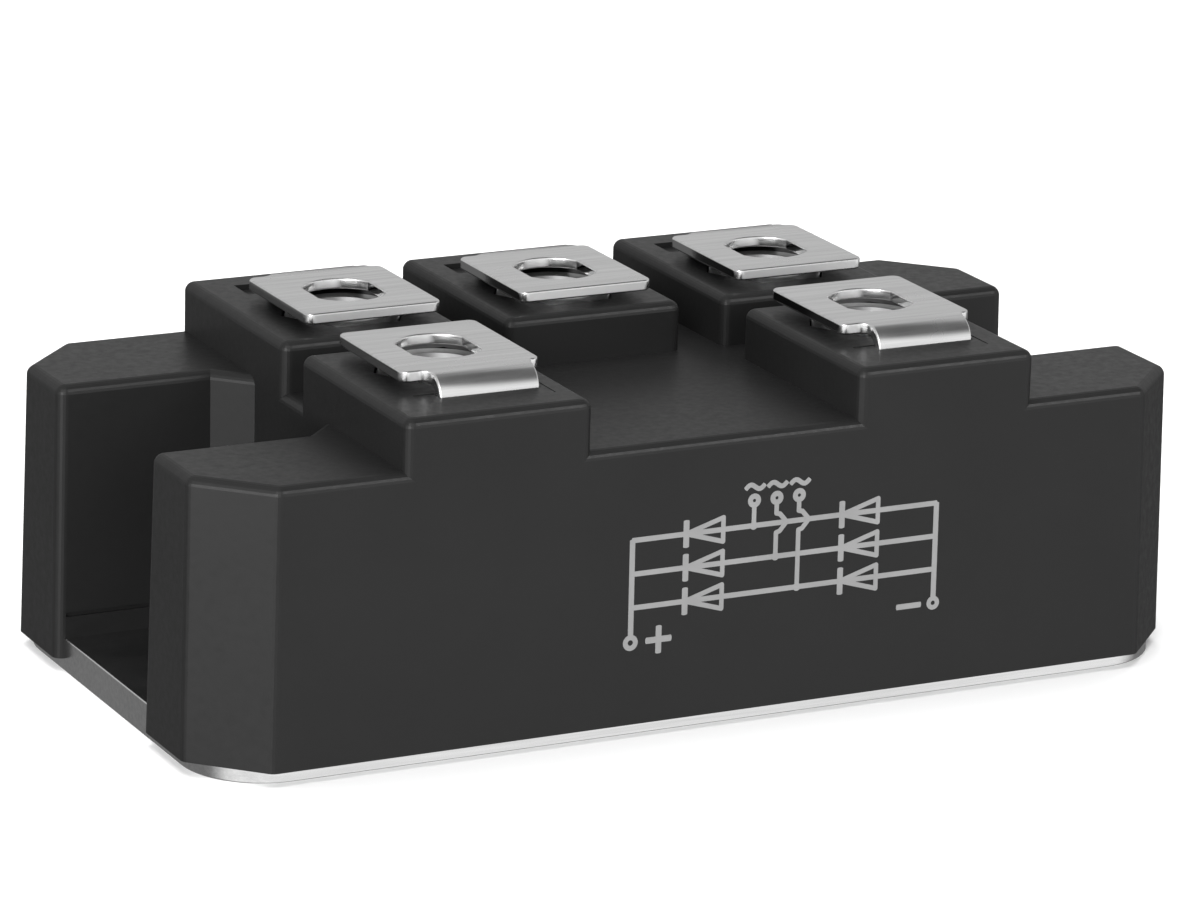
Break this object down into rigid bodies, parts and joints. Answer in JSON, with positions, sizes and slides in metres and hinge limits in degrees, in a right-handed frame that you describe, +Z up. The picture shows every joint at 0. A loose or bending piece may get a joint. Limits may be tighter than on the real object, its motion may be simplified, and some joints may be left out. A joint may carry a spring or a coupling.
{
  "type": "bridge rectifier",
  "caption": "Three-phase diode bridge module in a moulded housing with screw terminals on top, end channels for mounting screws and a metal heat-sink baseplate.",
  "frame": {"origin": "centre of the baseplate's heat-sink face", "axes": "+X along the length, to the right of someone who reads the printed front; +Y from the printed front to the back row of terminals; +Z up, away from the heat sink"},
  "size_m": [0.094, 0.048, 0.0318],
  "materials": {
    "baseplate": "nickel-plated copper plate, satin, faintly milled",
    "housing": "black-grey glass-filled moulding, satin with a fine grain",
    "terminal": "nickel-plated copper strip, brushed flat, bright at its edges",
    "nut": "plated steel",
    "ceramic": "white alumina",
    "copper": "bare copper, slightly matt",
    "silicon": "metallised silicon",
    "gel": "clear soft silicone",
    "epoxy": "cast resin"
  },
  "bodies": {
    "root": {"baseplate": "baseplate", "housing": "housing", "terminal_ac_left": "terminal", "terminal_ac_middle": "terminal", "terminal_ac_right": "terminal", "terminal_dc_plus": "terminal", "terminal_dc_minus": "terminal", "nut_ac_left": "nut", "nut_ac_middle": "nut", "nut_ac_right": "nut", "nut_dc_plus": "nut", "nut_dc_minus": "nut", "ceramic_insulator": "ceramic", "copper_ac_left": "copper", "copper_ac_middle": "copper", "copper_ac_right": "copper", "copper_plus": "copper", "copper_minus": "copper", "diode_upper_left": "silicon", "diode_upper_middle": "silicon", "diode_upper_right": "silicon", "diode_lower_left": "silicon", "diode_lower_middle": "silicon", "diode_lower_right": "silicon", "strap_upper_left": "copper", "strap_upper_middle": "copper", "strap_upper_right": "copper", "strap_lower_left": "copper", "strap_lower_middle": "copper", "strap_lower_right": "copper", "silicone_gel": "gel", "epoxy_potting": "epoxy"}
  },
  "joints": []
}
